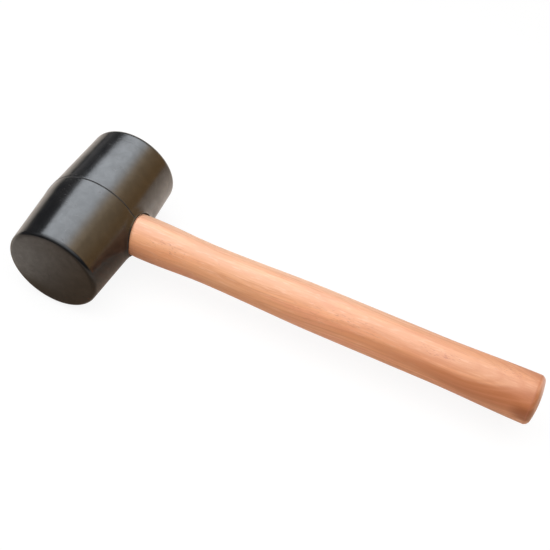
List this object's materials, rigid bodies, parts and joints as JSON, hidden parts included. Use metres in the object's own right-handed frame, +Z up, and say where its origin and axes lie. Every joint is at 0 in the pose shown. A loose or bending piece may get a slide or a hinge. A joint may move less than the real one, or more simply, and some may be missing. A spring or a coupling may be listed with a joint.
{
  "type": "rubber mallet",
  "caption": "Rubber mallet: a black moulded rubber head, tapered from its middle to flat striking faces, wedged on a turned hardwood handle that swells to a flared butt.",
  "frame": {"origin": "under the middle of the mallet's box, at the height of the lowest line of the head", "axes": "+X along the handle from the head to the butt, +Y along the head's striking axis, +Z up from the side that the mallet lies on"},
  "size_m": [0.3266, 0.101, 0.065],
  "materials": {
    "rubber": "smooth satin moulded black rubber",
    "beech": "turned pale reddish beech under clear satin lacquer",
    "wedge_wood": "sawn hardwood, unfinished, end grain showing",
    "steel": "bare mild steel, dull"
  },
  "bodies": {
    "root": {"rubber_head": "rubber", "handle": "beech", "wooden_wedge": "wedge_wood", "steel_wedge": "steel"}
  },
  "joints": []
}
